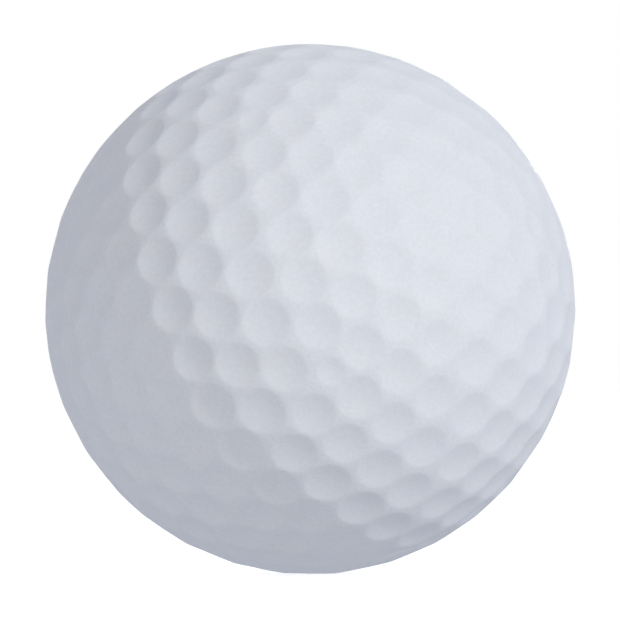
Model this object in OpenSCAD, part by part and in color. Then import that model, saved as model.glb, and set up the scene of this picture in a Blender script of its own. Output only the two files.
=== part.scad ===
/* [Ball] */
// Diameter over the cover, the smallest that the rules of golf allow
ball_d = 42.67; // [41:0.01:45]

/* [Layers] */
// Wall of the cover, from its bore to the lands between the dimples
cover_t = 1.5; // [0.8:0.05:2.5]
// Wall of the mantle under the cover
mantle_t = 1.4; // [0.8:0.05:3]
// Bond line left between two layers
bond_gap = 0.02; // [0.01:0.01:0.1]

/* [Dimples] */
// Angle at the rim between a dimple's wall and the ball
edge_angle = 16; // [9:0.5:20]
// Largest dimple, measured across its rim
dimple_d = 3.95; // [3:0.05:4.2]
// Land left between neighbouring dimples
land_w = 0.08; // [0.06:0.01:0.4]
// Plain strip from the parting plane to the nearest rims
seam_land = 0.06; // [0.03:0.01:0.2]

/* [Layout] */
// Latitude of the five small dimples round each mould pole
ring_lat = 28.8; // [28:0.1:31]
// Latitude of the row beside the parting plane
seam_lat = 5.1; // [4.6:0.1:5.6]
// Latitude step between the rows beside the parting plane
row_pitch = 8.55; // [8.3:0.05:9.2]
// Rise of the row next to the small dimples, half way between them
row_rise = 2.4; // [0:0.1:3]
// Turn of the right half's pattern beyond an even stagger
half_shift = 0.9; // [-3:0.1:3]

/* [Pose] */
// Angle of the left half's pole from straight up
pole_tilt = 94.9; // [0:0.1:180]
// Heading of the left half's pole, seen from above
pole_heading = 213.2; // [0:0.1:360]
// Turn of the dimple pattern about the pole
pole_spin = 5.3; // [0:0.1:72]

/* [Hidden] */
$fn = 256;

sectors = 5;
cap_rows = 6;
band_rows = 3;

ball_r = ball_d / 2;
bore_r = ball_r - cover_t;
mantle_r = bore_r - bond_gap;
mantle_bore_r = mantle_r - mantle_t;
core_r = mantle_bore_r - bond_gap;

sector_angle = 360 / sectors;
row_count = sectors * cap_rows;
lon_step = 360 / row_count;
cap_pitch = (90 - ring_lat) / cap_rows;
half_turn = (sector_angle - lon_step) / 2;

land_angle = land_w / ball_r * 180 / PI;
seam_angle = asin(seam_land / ball_r);
largest_angle = asin(dimple_d / 2 / ball_r);
lens_fn = 72;

// Unit vector at a latitude and longitude about the pole
function dir(lat, lon) = [cos(lat) * cos(lon), cos(lat) * sin(lon), sin(lat)];

// Angle between two unit vectors
function between(a, b) = acos(min(1, max(-1, a * b)));

// Point at a share of the great circle from one unit vector to another
function along(a, b, share) =
    let (w = between(a, b))
    (sin((1 - share) * w) * a + sin(share * w) * b) / sin(w);

// Cap: six rows of triangle lattice in each sector, from the pole out to the ring of small dimples
function cap_dir(sector, row, i) =
    let (lat = 90 - row * cap_pitch)
    along(dir(lat, sector * sector_angle), dir(lat, (sector + 1) * sector_angle), i / row);

// Band: staggered rows beside the parting plane, the outer ones rising between the small dimples
function band_lat(row, lon) =
    let (share = row / band_rows, swell = (1 - cos(sectors * lon)) / 2)
    seam_lat + (row - 1) * row_pitch + row_rise * share * share * swell;
function band_dir(row, i) =
    let (lon = (i + (band_rows + 1 - row) / 2) * lon_step)
    dir(band_lat(row, lon), lon);

ring_dirs = [for (s = [0 : sectors - 1]) dir(ring_lat, s * sector_angle)];
cap_dirs = [for (s = [0 : sectors - 1], row = [1 : cap_rows], i = [0 : row - 1])
    if (row < cap_rows || i > 0) cap_dir(s, row, i)];
band_dirs = [for (row = [1 : band_rows], i = [0 : row_count - 1]) band_dir(row, i)];
main_dirs = concat([[0, 0, 1]], cap_dirs, band_dirs);

// Half angle of each dimple, as wide as its neighbours and the parting plane leave room for
main_angles = [for (a = main_dirs)
    let (gaps = [for (b = main_dirs) if (a != b) between(a, b)])
    min(largest_angle, (min(gaps) - land_angle) / 2, asin(a[2]) - seam_angle)];
ring_angles = [for (a = ring_dirs)
    min([for (j = [0 : len(main_dirs) - 1]) between(a, main_dirs[j]) - main_angles[j]]) - land_angle];

half_dirs = concat(main_dirs, ring_dirs);
half_angles = concat(main_angles, ring_angles);

// Lens that cuts one dimple: a spherical floor meeting the ball at the rim at edge_angle
module dimple_lens(half_angle) {
    rim_r = ball_r * sin(half_angle);
    floor_angle = edge_angle - half_angle;
    floor_r = rim_r / sin(floor_angle);
    centre_z = ball_r * cos(half_angle) + floor_r * cos(floor_angle);
    rotate_extrude($fn = lens_fn)
        intersection() {
            translate([0, centre_z]) circle(floor_r);
            square([rim_r + land_w / 4, ball_d]);
        }
}

// One half of the cover, pole up, its bore and parting face left plain
module cover_half() {
    difference() {
        rotate_extrude()
            intersection() {
                difference() {
                    circle(ball_r);
                    circle(bore_r);
                }
                square(ball_d);
            }
        for (i = [0 : len(half_dirs) - 1])
            rotate([0, 90 - asin(half_dirs[i][2]), atan2(half_dirs[i][1], half_dirs[i][0])])
                dimple_lens(half_angles[i]);
    }
}

// Turns the mould pole to where it lies on the ball at rest
module posed() {
    rotate([0, pole_tilt, pole_heading])
        rotate(pole_spin)
            children();
}

module core() {
    color("cadetblue")
        sphere(core_r);
}

module mantle() {
    color("ivory")
        difference() {
            sphere(mantle_r);
            sphere(mantle_bore_r);
        }
}

module cover_half_left() {
    color([0.86, 0.88, 0.92])
        posed()
            cover_half();
}

module cover_half_right() {
    color([0.86, 0.88, 0.92])
        posed()
            rotate([180, 0, half_turn + half_shift])
                cover_half();
}

core();
mantle();
cover_half_left();
cover_half_right();
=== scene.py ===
import math

import bpy
import numpy as np
from mathutils import Matrix, Vector


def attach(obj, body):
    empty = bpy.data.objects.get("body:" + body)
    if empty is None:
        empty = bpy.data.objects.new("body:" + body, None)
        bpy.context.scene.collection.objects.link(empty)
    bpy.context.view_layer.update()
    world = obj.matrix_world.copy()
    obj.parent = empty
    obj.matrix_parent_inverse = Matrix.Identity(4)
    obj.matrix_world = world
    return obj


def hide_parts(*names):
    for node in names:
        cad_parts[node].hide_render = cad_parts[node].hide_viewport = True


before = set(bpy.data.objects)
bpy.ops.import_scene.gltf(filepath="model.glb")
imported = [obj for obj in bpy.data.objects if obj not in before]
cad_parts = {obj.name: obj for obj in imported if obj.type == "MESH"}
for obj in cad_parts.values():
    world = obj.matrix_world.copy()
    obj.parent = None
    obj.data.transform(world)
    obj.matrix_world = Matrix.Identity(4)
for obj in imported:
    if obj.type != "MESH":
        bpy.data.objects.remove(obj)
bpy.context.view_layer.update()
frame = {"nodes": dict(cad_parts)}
mm = 0.001
print("frame loaded:", ", ".join(frame["nodes"]))

# Cover: the same layout as the solids, in millimetres and degrees
cover = {
    "ballDia": 42.67,
    "wall": 1.5,
    "edgeAngle": 16,  # wall of a dimple against the ball, at the rim
    "largestDimple": 3.95,
    "land": 0.08,  # between neighbouring rims
    "seamLand": 0.06,  # between the parting plane and the nearest rims
    "ringLat": 28.8,  # the five small dimples round a pole
    "seamLat": 5.1,  # the row beside the parting plane
    "rowPitch": 8.55,
    "rowRise": 2.4,  # of the row next to the small dimples, half way between them
    "halfShift": 0.9,  # turn of the right half beyond an even stagger
    "poleTilt": 94.9,
    "poleHeading": 213.2,
    "poleSpin": 5.3,
    "rimSoft": 0.13,  # how far the paint rounds each rim
    "rimReach": 2,  # the rounding ends within this many radii of a dimple
    "rimMargin": 0.02,  # first ring of the mesh, outside the rim
    "ringSteps": (0.016, 0.02, 0.025, 0.035, 0.045, 0.06, 0.1, 0.15, 0.18, 0.19),  # shares of the radius
    "dimpleSides": 32,
    "seamSides": 480,
    "boreSteps": 30,
    "smoothAngle": 40,
}
sectors = 5  # round each pole
capRows = 6  # from the pole to the small dimples
bandRows = 3  # from there to the parting plane
sectorAngle = 360 / sectors
rowCount = sectors * capRows
lonStep = 360 / rowCount
ballR = cover["ballDia"] / 2
boreR = ballR - cover["wall"]


def unitAt(lat, lon):
    a, b = math.radians(lat), math.radians(lon)
    return np.array([math.cos(a) * math.cos(b), math.cos(a) * math.sin(b), math.sin(a)])


def alongArc(a, b, share):
    w = math.acos(a @ b)
    return (math.sin((1 - share) * w) * a + math.sin(share * w) * b) / math.sin(w)


def capRow(sector, row):  # one sector's share of a cap row, without the next sector's first dimple
    lat = 90 - row * (90 - cover["ringLat"]) / capRows
    a, b = (unitAt(lat, s * sectorAngle) for s in (sector, sector + 1))
    return [alongArc(a, b, i / row) for i in range(row)]


def bandRow(row):  # one of the staggered rows beside the parting plane
    lons = [(i + (bandRows + 1 - row) / 2) * lonStep for i in range(rowCount)]
    lat = cover["seamLat"] + (row - 1) * cover["rowPitch"]
    rise = cover["rowRise"] * (row / bandRows) ** 2
    return [unitAt(lat + rise * (1 - math.cos(math.radians(sectors * lon))) / 2, lon) for lon in lons]


def halfLayout():  # directions and half angles of one cover half's dimples, pole up
    main, ring = [np.array([0, 0, 1.0])], []
    for sector in range(sectors):
        for row in range(1, capRows + 1):
            dirs = capRow(sector, row)
            if row == capRows:
                ring.append(dirs.pop(0))
            main += dirs
    for row in range(1, bandRows + 1):
        main += bandRow(row)
    main, ring = np.array(main), np.array(ring)
    land = cover["land"] / ballR
    gaps = np.arccos(np.clip(main @ main.T, -1, 1))
    np.fill_diagonal(gaps, math.pi)
    room = (gaps.min(axis=1) - land) / 2
    seamRoom = np.arcsin(main[:, 2]) - math.asin(cover["seamLand"] / ballR)
    largest = math.asin(cover["largestDimple"] / 2 / ballR)
    mainAngles = np.minimum(np.minimum(room, seamRoom), largest)
    ringAngles = (np.arccos(ring @ main.T) - mainAngles).min(axis=1) - land
    return np.vstack([main, ring]), np.concatenate([mainAngles, ringAngles])


def softStep(x, width):  # zero outside the rim, the distance itself inside, rounded over the width
    return width * np.logaddexp(0, x / width)


def dimpleDepth(points, dirs, angles):  # millimetres below the ball, summed over the dimples
    depth = np.zeros(len(points))
    edge = math.radians(cover["edgeAngle"])
    for d, a in zip(dirs, angles):
        near = points @ d > math.cos(cover["rimReach"] * a)
        away = np.arccos(np.clip(points[near] @ d, -1, 1))
        inside = softStep((a - away) * ballR, cover["rimSoft"]) / ballR
        theta = np.clip(a - inside, 0, None)
        rimR = ballR * math.sin(a)
        floorR = rimR / math.sin(edge - a)
        centre = ballR * math.cos(a) + floorR * math.cos(edge - a)
        floor = centre * np.cos(theta) - np.sqrt(floorR ** 2 - (centre * np.sin(theta)) ** 2)
        depth[near] += ballR - floor
    return depth


def selectOnly(obj):
    bpy.ops.object.select_all(action="DESELECT")
    obj.select_set(True)
    bpy.context.view_layer.objects.active = obj


def selectOpenEdges():
    bpy.ops.mesh.select_mode(type="EDGE")
    bpy.ops.mesh.select_all(action="DESELECT")
    bpy.ops.mesh.select_non_manifold(use_multi_face=False, use_non_contiguous=False, use_verts=False)


def makeRosette():  # one dimple as flat rings on a disc of radius 1, copied to every place
    bpy.ops.object.select_all(action="DESELECT")
    bpy.ops.mesh.primitive_circle_add(vertices=cover["dimpleSides"], radius=1, fill_type="NGON")
    rosette = bpy.context.object
    bpy.ops.object.mode_set(mode="EDIT")
    bpy.ops.mesh.select_mode(type="FACE")
    bpy.ops.mesh.select_all(action="SELECT")
    for step in cover["ringSteps"]:
        bpy.ops.mesh.inset(thickness=step)
    bpy.ops.mesh.poke()
    bpy.ops.object.mode_set(mode="OBJECT")
    return rosette


def flatRadius(colat):  # stereographic map: circles on the ball stay circles on the sheet
    return math.tan(colat / 2)


def makeSheet(dirs, angles):  # the half cover laid flat: a disc whose edge is the parting line
    rosette = makeRosette()
    margin = cover["rimMargin"] / ballR
    copies = []
    for d, a in zip(dirs, angles + margin):
        colat, lon = math.acos(d[2]), math.atan2(d[1], d[0])
        inner, outer = flatRadius(colat - a), flatRadius(colat + a)
        copy = rosette.copy()
        copy.data = rosette.data.copy()
        place = Matrix.Translation(((inner + outer) / 2, 0, 0)) @ Matrix.Scale((outer - inner) / 2, 4)
        copy.data.transform(Matrix.Rotation(lon, 4, "Z") @ place)
        bpy.context.collection.objects.link(copy)
        copies.append(copy)
    bpy.data.objects.remove(rosette)
    bpy.ops.object.select_all(action="DESELECT")
    bpy.ops.mesh.primitive_circle_add(vertices=cover["seamSides"], radius=1)
    sheet = bpy.context.object
    for copy in copies:
        copy.select_set(True)
    bpy.ops.object.join()
    bpy.ops.object.mode_set(mode="EDIT")
    selectOpenEdges()
    bpy.ops.mesh.fill(use_beauty=True)  # the lands between the dimples
    bpy.ops.mesh.poke()
    bpy.ops.object.mode_set(mode="OBJECT")
    return sheet


def domeSheet(sheet, dirs, angles):  # wraps the sheet on the ball and sinks the dimples
    flat = np.empty(len(sheet.data.vertices) * 3)
    sheet.data.vertices.foreach_get("co", flat)
    x, y = flat.reshape(-1, 3)[:, :2].T
    square = x * x + y * y
    points = np.stack([2 * x, 2 * y, 1 - square], axis=1) / (1 + square)[:, None]
    radius = ballR - dimpleDepth(points, dirs, angles)
    sheet.data.vertices.foreach_set("co", (points * radius[:, None] * mm).ravel())
    sheet.data.update()


def addBore(sheet):  # the parting face and the plain bore, drawn up from the parting line
    selectOnly(sheet)
    bpy.ops.object.mode_set(mode="EDIT")
    selectOpenEdges()
    bpy.ops.mesh.extrude_region_move()
    bpy.ops.transform.resize(value=(boreR / ballR,) * 3, center_override=(0, 0, 0))
    for step in range(1, cover["boreSteps"]):
        lower, upper = (math.radians(90 * s / cover["boreSteps"]) for s in (step - 1, step))
        shrink = math.cos(upper) / math.cos(lower)
        lift = boreR * (math.sin(upper) - math.sin(lower)) * mm
        bpy.ops.mesh.extrude_region_move(TRANSFORM_OT_translate={"value": (0, 0, lift)})
        bpy.ops.transform.resize(value=(shrink, shrink, 1), center_override=(0, 0, 0))
    bpy.ops.mesh.edge_face_add()
    bpy.ops.mesh.select_all(action="SELECT")
    bpy.ops.mesh.normals_make_consistent(inside=False)
    bpy.ops.object.mode_set(mode="OBJECT")


def turnZ(angle):
    return Matrix.Rotation(math.radians(angle), 4, "Z")


def posed():  # from pole up to how the ball lies at rest
    tilt = Matrix.Rotation(math.radians(cover["poleTilt"]), 4, "Y")
    return turnZ(cover["poleHeading"]) @ tilt @ turnZ(cover["poleSpin"])


def flipped():  # from the left half to the right half
    return turnZ((sectorAngle - lonStep) / 2 + cover["halfShift"]) @ Matrix.Rotation(math.pi, 4, "X")


def makeCoverHalves():
    halfDirs, halfAngles = halfLayout()
    flip = np.array(flipped().to_3x3())
    allDirs = np.vstack([halfDirs, halfDirs @ flip.T])  # soft rims reach over the parting plane
    left = makeSheet(halfDirs, halfAngles)
    domeSheet(left, allDirs, np.concatenate([halfAngles, halfAngles]))
    addBore(left)
    bpy.ops.object.shade_smooth_by_angle(angle=math.radians(cover["smoothAngle"]))
    right = left.copy()
    right.data = left.data.copy()
    bpy.context.collection.objects.link(right)
    left.data.transform(posed())
    right.data.transform(posed() @ flipped())
    left.name, right.name = "coverHalfLeft", "coverHalfRight"
    for piece, node in ((left, "cover_half_left"), (right, "cover_half_right")):
        piece.data.name = piece.name
        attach(piece, "root")
        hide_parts(node)
        print(piece.name, len(piece.data.vertices), "points")
    return left, right


coverHalves = makeCoverHalves()

# Finishes: colours, scales per metre, heights in millimetres, shares from 0 to 1
paint = {
    "color": (0.785, 0.826, 0.860),
    "tint": (0.767, 0.820, 0.870),
    "speck": (0.62, 0.66, 0.70),
    "driftScale": 500,
    "grainScale": 3200,
    "grainShade": 0.07,
    "speckScale": 420,
    "speckShare": 0.15,
    "roughness": 0.58,
    "specular": 0.06,
    "peelScale": 1000,  # orange peel of the sprayed coat
    "peelHeight": 0.006,
    "grainHeight": 0.002,
}
mantleResin = {
    "color": (0.66, 0.58, 0.42),
    "tint": (0.60, 0.52, 0.37),
    "speck": (0.45, 0.38, 0.26),
    "driftScale": 180,
    "grainScale": 1800,
    "grainShade": 0.04,
    "speckScale": 500,
    "speckShare": 0.5,
    "roughness": 0.48,
    "specular": 0.5,
    "peelScale": 500,
    "peelHeight": 0.01,
    "grainHeight": 0.003,
}
coreRubber = {
    "color": (0.05, 0.17, 0.21),
    "tint": (0.04, 0.13, 0.16),
    "speck": (0.16, 0.26, 0.28),
    "driftScale": 160,
    "grainScale": 1500,
    "grainShade": 0.12,
    "speckScale": 900,
    "speckShare": 0.8,
    "roughness": 0.75,
    "specular": 0.4,
    "peelScale": 700,
    "peelHeight": 0.02,
    "grainHeight": 0.01,
}
texture = {  # the same in every finish
    "driftDetail": 5,
    "driftGain": 3,  # contrast of the drift between colour and tint
    "grainDetail": 2,
    "peelDetail": 1,
    "roughSwing": 0.15,  # how far roughness follows the drift
    "speckRadius": 0.015,  # smallest speck, in cells
    "speckSpread": 0.025,  # added for the largest
    "speckEdge": 3,  # how steeply a speck fades out
}


def newGroup(name, ins, outs):
    group = bpy.data.node_groups.new(name, "ShaderNodeTree")
    for sockets, side in ((ins, "INPUT"), (outs, "OUTPUT")):
        for label, kind in sockets:
            group.interface.new_socket(label, in_out=side, socket_type="NodeSocket" + kind)
    return group, group.nodes.new("NodeGroupInput").outputs, group.nodes.new("NodeGroupOutput").inputs


def feed(tree, socket, value):  # a socket is linked, a number or a colour is set
    if isinstance(value, bpy.types.NodeSocket):
        tree.links.new(value, socket)
    else:
        socket.default_value = (*value, 1) if isinstance(value, tuple) else value


def newMath(tree, operation, *values):
    node = tree.nodes.new("ShaderNodeMath")
    node.operation = operation
    for socket, value in zip(node.inputs, values):
        feed(tree, socket, value)
    return node.outputs["Value"]


def clamped(tree, value):  # kept from 0 to 1
    return newMath(tree, "MINIMUM", newMath(tree, "MAXIMUM", value, 0), 1)


def newMix(tree, factor, a, b, blend="MIX"):
    node = tree.nodes.new("ShaderNodeMix")
    node.data_type = "RGBA"
    node.blend_type = blend
    for name, value in (("Factor", factor), ("A", a), ("B", b)):
        feed(tree, next(s for s in node.inputs if s.name == name and s.enabled), value)
    return next(s for s in node.outputs if s.enabled)


def newPattern(tree, kind, scale):  # a texture fixed to the piece
    node = tree.nodes.new(kind)
    coords = tree.nodes.new("ShaderNodeTexCoord")
    tree.links.new(coords.outputs["Object"], node.inputs["Vector"])
    feed(tree, node.inputs["Scale"], scale)
    return node


def newNoise(tree, scale, detail):
    noise = newPattern(tree, "ShaderNodeTexNoise", scale)
    noise.inputs["Detail"].default_value = detail
    return noise.outputs["Fac"]


def makeMottleGroup():  # drift and grain between colour and tint, the grain also a little lighter and darker
    group, ins, outs = newGroup(
        "finishMottle",
        [("Color", "Color"), ("Tint", "Color"), ("Drift Scale", "Float"), ("Grain Scale", "Float"),
         ("Grain Shade", "Float"), ("Roughness", "Float")],
        [("Color", "Color"), ("Roughness", "Float"), ("Grain", "Float")])
    drift = newNoise(group, ins["Drift Scale"], texture["driftDetail"])
    grain = newNoise(group, ins["Grain Scale"], texture["grainDetail"])
    sway = newMath(group, "SUBTRACT", drift, 0.5)
    swing = newMath(group, "MULTIPLY_ADD", grain, 2, -1)
    spread = newMath(group, "MULTIPLY_ADD", sway, texture["driftGain"], 0.5)
    spread = clamped(group, newMath(group, "ADD", spread, swing))
    shade = newMath(group, "MULTIPLY_ADD", swing, ins["Grain Shade"], 1)
    color = newMix(group, spread, ins["Color"], ins["Tint"])
    group.links.new(newMix(group, 1, color, shade, "MULTIPLY"), outs["Color"])
    rough = newMath(group, "MULTIPLY_ADD", sway, texture["roughSwing"], ins["Roughness"])
    group.links.new(rough, outs["Roughness"])
    group.links.new(grain, outs["Grain"])
    return group


def makeSpeckGroup():  # sparse flecks, a share of the cells of a Voronoi pattern
    group, ins, outs = newGroup(
        "finishSpecks",
        [("Color", "Color"), ("Speck", "Color"), ("Scale", "Float"), ("Share", "Float")],
        [("Color", "Color")])
    cells = newPattern(group, "ShaderNodeTexVoronoi", ins["Scale"])
    parts = group.nodes.new("ShaderNodeSeparateColor")  # two random numbers for each cell
    group.links.new(cells.outputs["Color"], parts.inputs["Color"])
    chosen = newMath(group, "LESS_THAN", parts.outputs["Red"], ins["Share"])
    spread, smallest = texture["speckSpread"], texture["speckRadius"]
    radius = newMath(group, "MULTIPLY_ADD", parts.outputs["Green"], spread, smallest)
    inside = newMath(group, "SUBTRACT", 1, newMath(group, "DIVIDE", cells.outputs["Distance"], radius))
    soft = clamped(group, newMath(group, "MULTIPLY", inside, texture["speckEdge"]))
    mask = newMath(group, "MULTIPLY", soft, chosen)
    group.links.new(newMix(group, mask, ins["Color"], ins["Speck"]), outs["Color"])
    return group


mottleGroup, speckGroup = makeMottleGroup(), makeSpeckGroup()


def placeGroup(tree, group, values):
    node = tree.nodes.new("ShaderNodeGroup")
    node.node_tree = group
    for name, value in values.items():
        feed(tree, node.inputs[name], value)
    return node.outputs


def makeFinish(name, look):
    material = bpy.data.materials.new(name)
    material.use_nodes = True
    tree = material.node_tree
    shader = tree.nodes["Principled BSDF"].inputs
    shader["Specular IOR Level"].default_value = look["specular"]
    mottle = placeGroup(tree, mottleGroup, {
        "Color": look["color"],
        "Tint": look["tint"],
        "Drift Scale": look["driftScale"],
        "Grain Scale": look["grainScale"],
        "Grain Shade": look["grainShade"],
        "Roughness": look["roughness"],
    })
    specks = placeGroup(tree, speckGroup, {
        "Color": mottle["Color"],
        "Speck": look["speck"],
        "Scale": look["speckScale"],
        "Share": look["speckShare"],
    })
    tree.links.new(specks["Color"], shader["Base Color"])
    tree.links.new(mottle["Roughness"], shader["Roughness"])
    peel = newNoise(tree, look["peelScale"], texture["peelDetail"])
    normal = None
    for height, depth in ((peel, "peelHeight"), (mottle["Grain"], "grainHeight")):
        bump = tree.nodes.new("ShaderNodeBump")
        bump.inputs["Distance"].default_value = look[depth] * mm
        tree.links.new(height, bump.inputs["Height"])
        if normal:
            tree.links.new(normal, bump.inputs["Normal"])
        normal = bump.outputs["Normal"]
    tree.links.new(normal, shader["Normal"])
    return material


coverPaint = makeFinish("coverPaint", paint)
for half in coverHalves:
    half.data.materials.append(coverPaint)
frame["nodes"]["mantle"].material_slots[0].material = makeFinish("mantleResin", mantleResin)
frame["nodes"]["core"].material_slots[0].material = makeFinish("coreRubber", coreRubber)
print("finishes done")

# Stage: white floor and a dome of soft light
stage = {
    "floorSize": 6000,
    "floorColor": (0.88, 0.88, 0.88),
    "floorRoughness": 0.9,
    "floorGlow": 0.51,  # lifts the seen floor to white and leaves the shadow
    "skyColor": (0.064, 0.074, 0.145),
    "groundColor": (0.307, 0.346, 0.432),
    "frontColor": (0.432, 0.379, 0.321),  # added towards the camera
}
white = (1, 1, 1)


def seenMask(tree):  # 1 for rays from the camera, a mirror or glass, 0 for light on the object
    path = tree.nodes.new("ShaderNodeLightPath").outputs
    mirrored = newMath(tree, "MAXIMUM", path["Is Glossy Ray"], path["Is Transmission Ray"])
    return newMath(tree, "MAXIMUM", path["Is Camera Ray"], mirrored)


def makeFloor():
    bpy.ops.object.select_all(action="DESELECT")
    bpy.ops.mesh.primitive_plane_add(size=stage["floorSize"] * mm, location=(0, 0, -ballR * mm))
    floor = bpy.context.object
    floor.name = "floor"
    bpy.ops.object.transform_apply(location=True, rotation=True, scale=True)
    material = bpy.data.materials.new("floorWhite")
    material.use_nodes = True
    tree = material.node_tree
    shader = tree.nodes["Principled BSDF"].inputs
    feed(tree, shader["Base Color"], stage["floorColor"])
    feed(tree, shader["Roughness"], stage["floorRoughness"])
    feed(tree, shader["Emission Color"], white)
    feed(tree, shader["Emission Strength"], newMath(tree, "MULTIPLY", seenMask(tree), stage["floorGlow"]))
    floor.data.materials.append(material)
    floor.visible_diffuse = False  # the dome lights the ball from below too
    floor.visible_shadow = False


def makeWorld():  # the dome: from ground to sky, brighter in front, and seen as white
    world = bpy.data.worlds.new("studio")
    world.use_nodes = True
    bpy.context.scene.world = world
    tree = world.node_tree
    way = tree.nodes.new("ShaderNodeSeparateXYZ")
    tree.links.new(tree.nodes.new("ShaderNodeTexCoord").outputs["Generated"], way.inputs["Vector"])
    up = newMath(tree, "MULTIPLY_ADD", way.outputs["Z"], 0.5, 0.5)
    front = newMath(tree, "MULTIPLY_ADD", way.outputs["Y"], -0.5, 0.5)
    dome = newMix(tree, up, stage["groundColor"], stage["skyColor"])
    dome = newMix(tree, front, dome, stage["frontColor"], "ADD")
    light = tree.nodes["Background"]
    feed(tree, light.inputs["Color"], dome)
    seen = tree.nodes.new("ShaderNodeBackground")
    feed(tree, seen.inputs["Color"], white)
    pick = tree.nodes.new("ShaderNodeMixShader")
    feed(tree, pick.inputs["Fac"], seenMask(tree))
    tree.links.new(light.outputs["Background"], pick.inputs[1])
    tree.links.new(seen.outputs["Background"], pick.inputs[2])
    tree.links.new(pick.outputs["Shader"], tree.nodes["World Output"].inputs["Surface"])


# Lights: suns with their spread in degrees, softboxes with their size in millimetres
lights = {
    "key": {"kind": "SUN", "from": (0.696, -0.544, 0.469), "away": 1000, "strength": 1.505, "spread": 6},
    # for the side that the camera does not see
    "back": {"kind": "SUN", "from": (0.08, 1, 0.05), "away": 1000, "strength": 0.95, "spread": 4},
    "fill": {"kind": "AREA", "from": (-0.79, -0.5, 0.36), "away": 900, "strength": 1.028, "size": 600},
    "top": {"kind": "AREA", "from": (0, 0.6, 0.8), "away": 1000, "strength": 1.414, "size": 700},
}


def makeLights():
    for name, look in lights.items():
        data = bpy.data.lights.new(name, look["kind"])
        data.energy = look["strength"]
        if look["kind"] == "SUN":
            data.angle = math.radians(look["spread"])
        else:
            data.size = look["size"] * mm
        lamp = bpy.data.objects.new(name, data)
        bpy.context.collection.objects.link(lamp)
        way = Vector(look["from"]).normalized()
        lamp.location = way * look["away"] * mm
        lamp.rotation_mode = "QUATERNION"
        lamp.rotation_quaternion = way.to_track_quat("Z", "Y")


# Camera: level and straight on, with the ball where the photograph has it
view = {
    "distance": 1400,  # millimetres
    "sensor": 36,  # millimetres
    "imageSide": 620,  # pixels
    "ballRadius": 265.3,  # pixels
    "ballCentre": (310.3, 309.2),  # pixels, from the left and from the top
}


def makeCamera():
    data = bpy.data.cameras.new("camera")
    data.sensor_width = view["sensor"]
    away = view["distance"] / ballR
    data.lens = view["ballRadius"] * math.sqrt(away ** 2 - 1) / view["imageSide"] * view["sensor"]
    camera = bpy.data.objects.new("camera", data)
    bpy.context.collection.objects.link(camera)
    perPixel = ballR / view["ballRadius"] * mm
    left, top = view["ballCentre"]
    middle = view["imageSide"] / 2
    camera.location = ((middle - left) * perPixel, -view["distance"] * mm, (top - middle) * perPixel)
    camera.rotation_euler = (math.pi / 2, 0, 0)
    bpy.context.scene.camera = camera


makeFloor()
makeWorld()
makeLights()
makeCamera()
bpy.context.scene.view_settings.view_transform = "Standard"
print("stage done")
